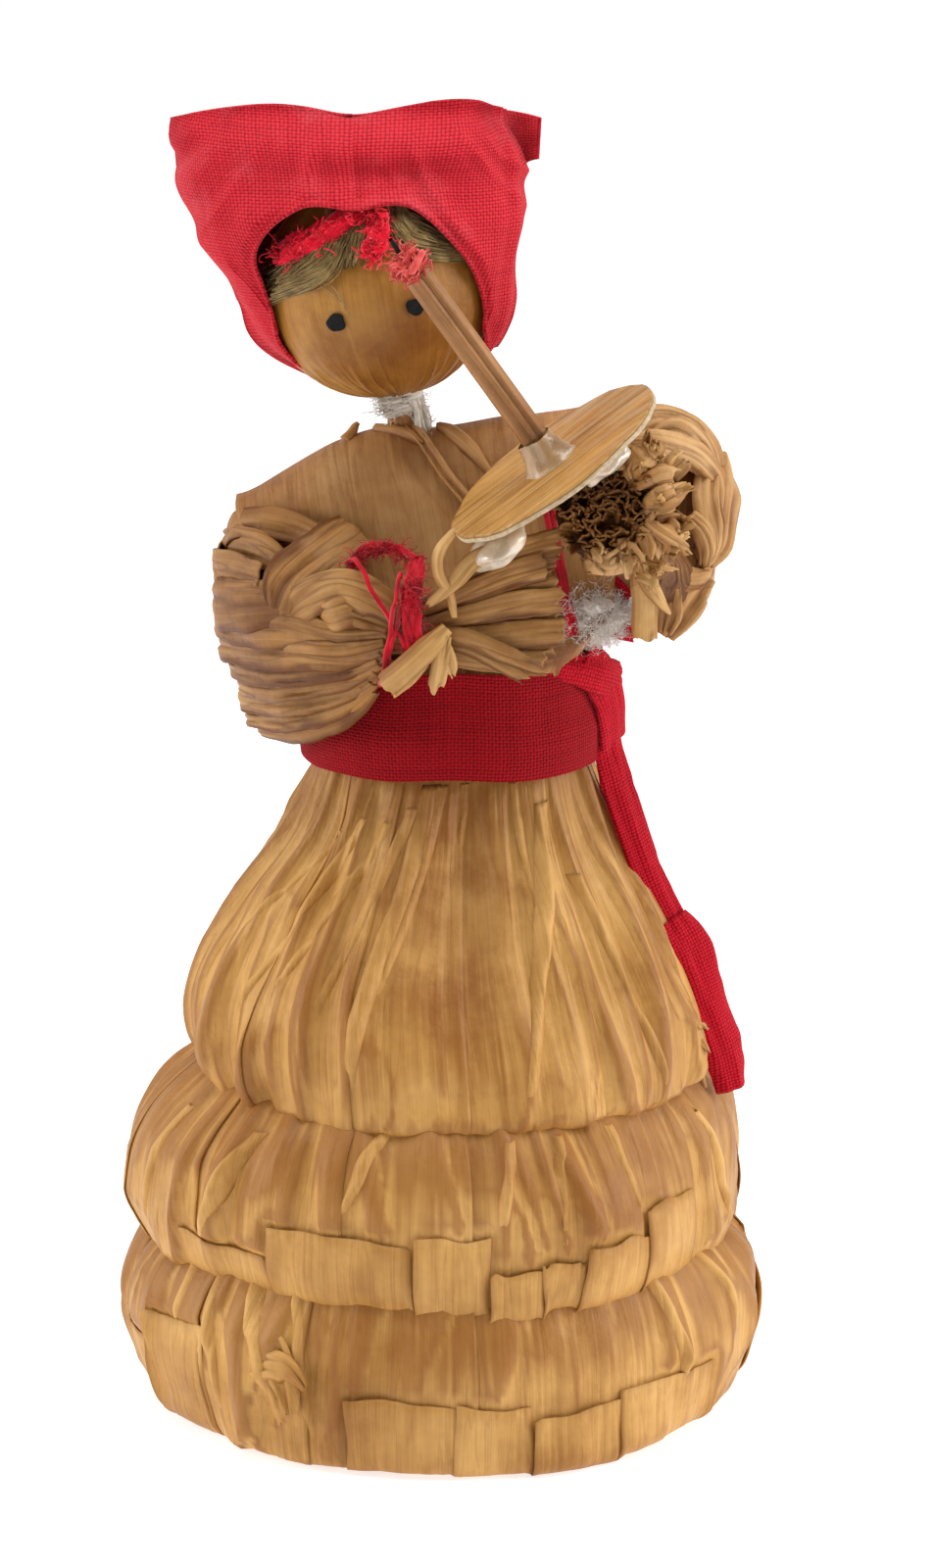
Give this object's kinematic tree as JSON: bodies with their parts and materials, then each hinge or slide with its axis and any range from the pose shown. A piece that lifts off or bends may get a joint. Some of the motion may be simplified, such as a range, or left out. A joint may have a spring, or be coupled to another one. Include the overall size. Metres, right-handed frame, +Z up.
{
  "type": "dried husk folk doll",
  "caption": "Standing folk doll of dried husk strips with tiered skirt, red kerchief and sash, plaited arms holding a candle on a saucer.",
  "frame": {"origin": "on the table under the middle of the skirt's hem", "axes": "+Z up, the doll faces -Y, +X towards the doll's own left hand"},
  "size_m": [0.0908, 0.0908, 0.1915],
  "materials": {
    "card": "plain brown card",
    "husk_skirt": "dried husk, satin, fine ribs up and down",
    "husk_body": "dried husk, brown tan, smooth",
    "husk_braid": "dried husk straps, plaited",
    "husk_ruffle": "cut husk ends, darker",
    "husk_face": "dried husk stretched over a ball, fine creases",
    "husk_saucer": "glossy dried husk, grain one way",
    "husk_candle": "rolled dried husk",
    "hair": "coarse loose bast fibre",
    "yarn_red": "fluffy bright red yarn",
    "flame_yarn": "fluffy coral red yarn",
    "thread_red": "fine red thread",
    "thread_white": "soft white cotton yarn",
    "cloth_scarf": "coarse plain weave cotton, crimson, a little faded",
    "cloth_sash": "coarse plain weave cotton, deep crimson",
    "cotton": "white cotton wadding",
    "ink": "black ink dots",
    "wick": "black thread",
    "glue": "milky hot glue"
  },
  "bodies": {
    "figure": {"base_card": "card", "skirt_cone": "card", "skirt_tier_bottom": "husk_skirt", "skirt_tier_middle": "husk_skirt", "skirt_tier_top": "husk_skirt", "tier_ties": "thread_white", "waist_tie": "thread_white", "torso_core": "husk_body", "torso_wadding": "cotton", "bodice_right": "husk_body", "bodice_left": "husk_body", "bodice_fold": "husk_body", "chest_thread": "thread_red", "sash_band": "cloth_sash", "sash_end_fold": "cloth_sash"},
    "sash_tail": {"sash_tail": "cloth_sash"},
    "neck": {"neck_bundle": "husk_body", "neck_tie": "thread_white"},
    "head": {"head_ball": "cotton", "head_skin": "husk_face", "eyes": "ink", "hair_fringe": "hair", "hair_yarn": "yarn_red", "headscarf": "cloth_scarf"},
    "arms": {"arm_braid_shoulder": "husk_braid", "arm_braid_right": "husk_braid", "arm_braid_left": "husk_braid", "hand_right": "husk_braid", "hand_left": "husk_ruffle", "wrist_thread_right": "thread_red", "wrist_thread_left": "thread_white", "wrist_ribbon_right": "husk_braid", "hand_strip_left": "husk_braid", "saucer_card": "card", "saucer_husk": "husk_saucer", "candle_core": "husk_candle", "candle_wrap": "husk_candle", "candle_wick": "wick", "flame_tuft": "flame_yarn", "glue_candle": "glue", "glue_hand_right": "glue", "glue_hand_left": "glue"}
  },
  "joints": [
    {"name": "arms_rock", "type": "hinge", "parent": "figure", "child": "arms", "pos_m": [0, 0, 0.1352], "axis": [-0.9848, 0, -0.1736], "range_deg": [0, 12]},
    {"name": "neck_nod", "type": "hinge", "parent": "figure", "child": "neck", "pos_m": [-0.0031, 0, 0.13465], "axis": [0.9848, 0, 0.1736], "range_deg": [-6, 6]},
    {"name": "head_turn", "type": "hinge", "parent": "neck", "child": "head", "pos_m": [-0.00842, 0, 0.16479], "axis": [-0.1736, 0, 0.9848], "range_deg": [-30, 30]},
    {"name": "sash_tail_swing", "type": "hinge", "parent": "figure", "child": "sash_tail", "pos_m": [0.0251, -0.003, 0.0975], "axis": [0, -1, 0], "range_deg": [0, 30]}
  ]
}
